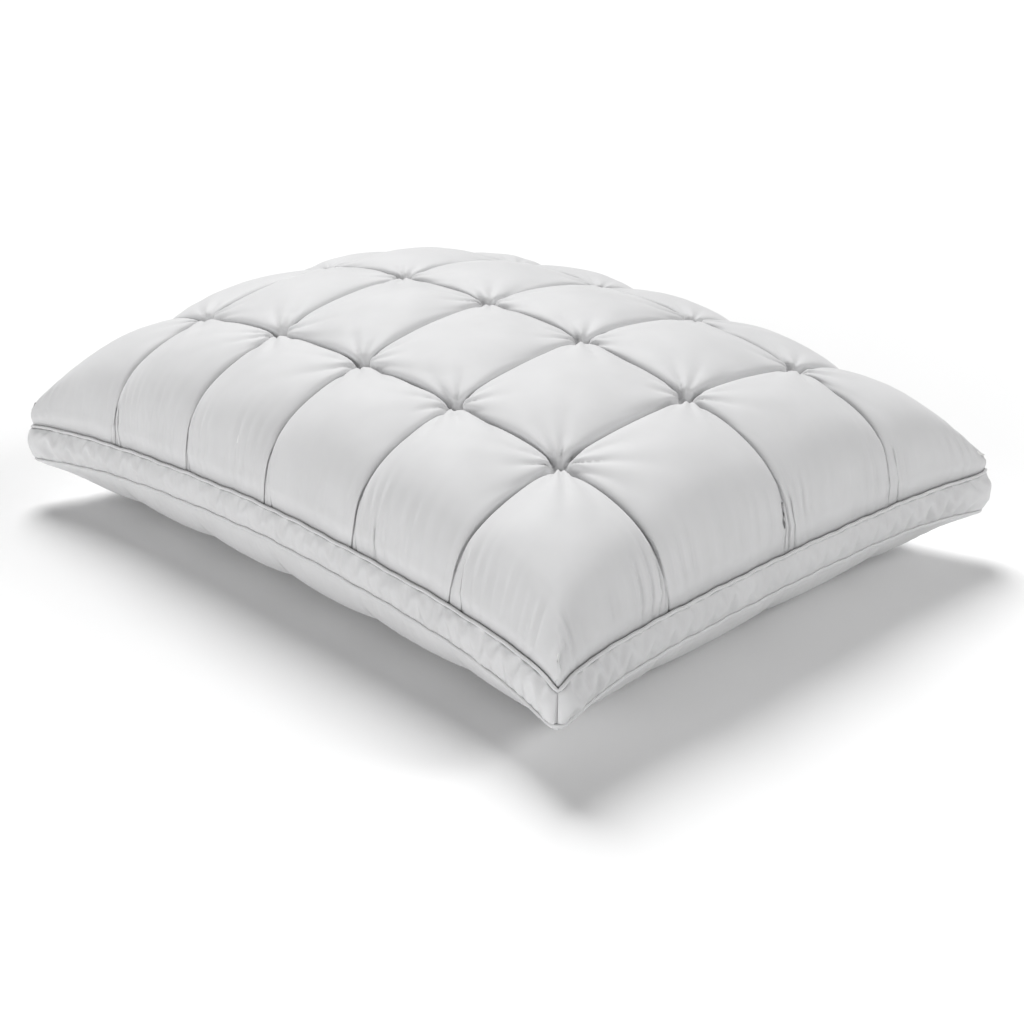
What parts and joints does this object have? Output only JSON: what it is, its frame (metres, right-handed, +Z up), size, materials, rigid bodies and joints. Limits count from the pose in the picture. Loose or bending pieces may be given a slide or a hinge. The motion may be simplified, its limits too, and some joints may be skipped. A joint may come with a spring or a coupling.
{
  "type": "bed pillow",
  "caption": "Gusseted bed pillow with box-quilted, tufted faces, corded piping round both gusset seams, padded boxes and a soft core.",
  "frame": {"origin": "on the floor under the middle of the pillow, at the bottom centre of its box", "axes": "+X along the length, towards the end by the corner where the gusset is joined; +Y along the width, away from that corner; +Z up, out of the higher face"},
  "size_m": [0.662, 0.5102, 0.2086],
  "materials": {
    "cover": "satin-weave cotton, white, soft sheen",
    "gusset": "satin-weave cotton, white, soft sheen",
    "piping": "satin piping, white, brighter sheen",
    "cord": "undyed twisted cotton",
    "lining": "plain-weave cotton, matte",
    "fill": "loose fibre, matte",
    "core": "loose fibre, matte"
  },
  "bodies": {
    "root": {"top_panel": "cover", "top_lining": "lining", "top_fill_r1_c1": "fill", "top_fill_r1_c2": "fill", "top_fill_r1_c3": "fill", "top_fill_r1_c4": "fill", "top_fill_r1_c5": "fill", "top_fill_r1_c6": "fill", "top_fill_r2_c1": "fill", "top_fill_r2_c2": "fill", "top_fill_r2_c3": "fill", "top_fill_r2_c4": "fill", "top_fill_r2_c5": "fill", "top_fill_r2_c6": "fill", "top_fill_r3_c1": "fill", "top_fill_r3_c2": "fill", "top_fill_r3_c3": "fill", "top_fill_r3_c4": "fill", "top_fill_r3_c5": "fill", "top_fill_r3_c6": "fill", "top_fill_r4_c1": "fill", "top_fill_r4_c2": "fill", "top_fill_r4_c3": "fill", "top_fill_r4_c4": "fill", "top_fill_r4_c5": "fill", "top_fill_r4_c6": "fill", "bottom_panel": "cover", "bottom_lining": "lining", "bottom_fill_r1_c1": "fill", "bottom_fill_r1_c2": "fill", "bottom_fill_r1_c3": "fill", "bottom_fill_r1_c4": "fill", "bottom_fill_r1_c5": "fill", "bottom_fill_r1_c6": "fill", "bottom_fill_r2_c1": "fill", "bottom_fill_r2_c2": "fill", "bottom_fill_r2_c3": "fill", "bottom_fill_r2_c4": "fill", "bottom_fill_r2_c5": "fill", "bottom_fill_r2_c6": "fill", "bottom_fill_r3_c1": "fill", "bottom_fill_r3_c2": "fill", "bottom_fill_r3_c3": "fill", "bottom_fill_r3_c4": "fill", "bottom_fill_r3_c5": "fill", "bottom_fill_r3_c6": "fill", "bottom_fill_r4_c1": "fill", "bottom_fill_r4_c2": "fill", "bottom_fill_r4_c3": "fill", "bottom_fill_r4_c4": "fill", "bottom_fill_r4_c5": "fill", "bottom_fill_r4_c6": "fill", "core_ticking_top": "lining", "core_ticking_bottom": "lining", "core_fill": "core", "gusset_strip": "gusset", "top_piping_cover": "piping", "top_piping_cord": "cord", "bottom_piping_cover": "piping", "bottom_piping_cord": "cord"}
  },
  "joints": []
}
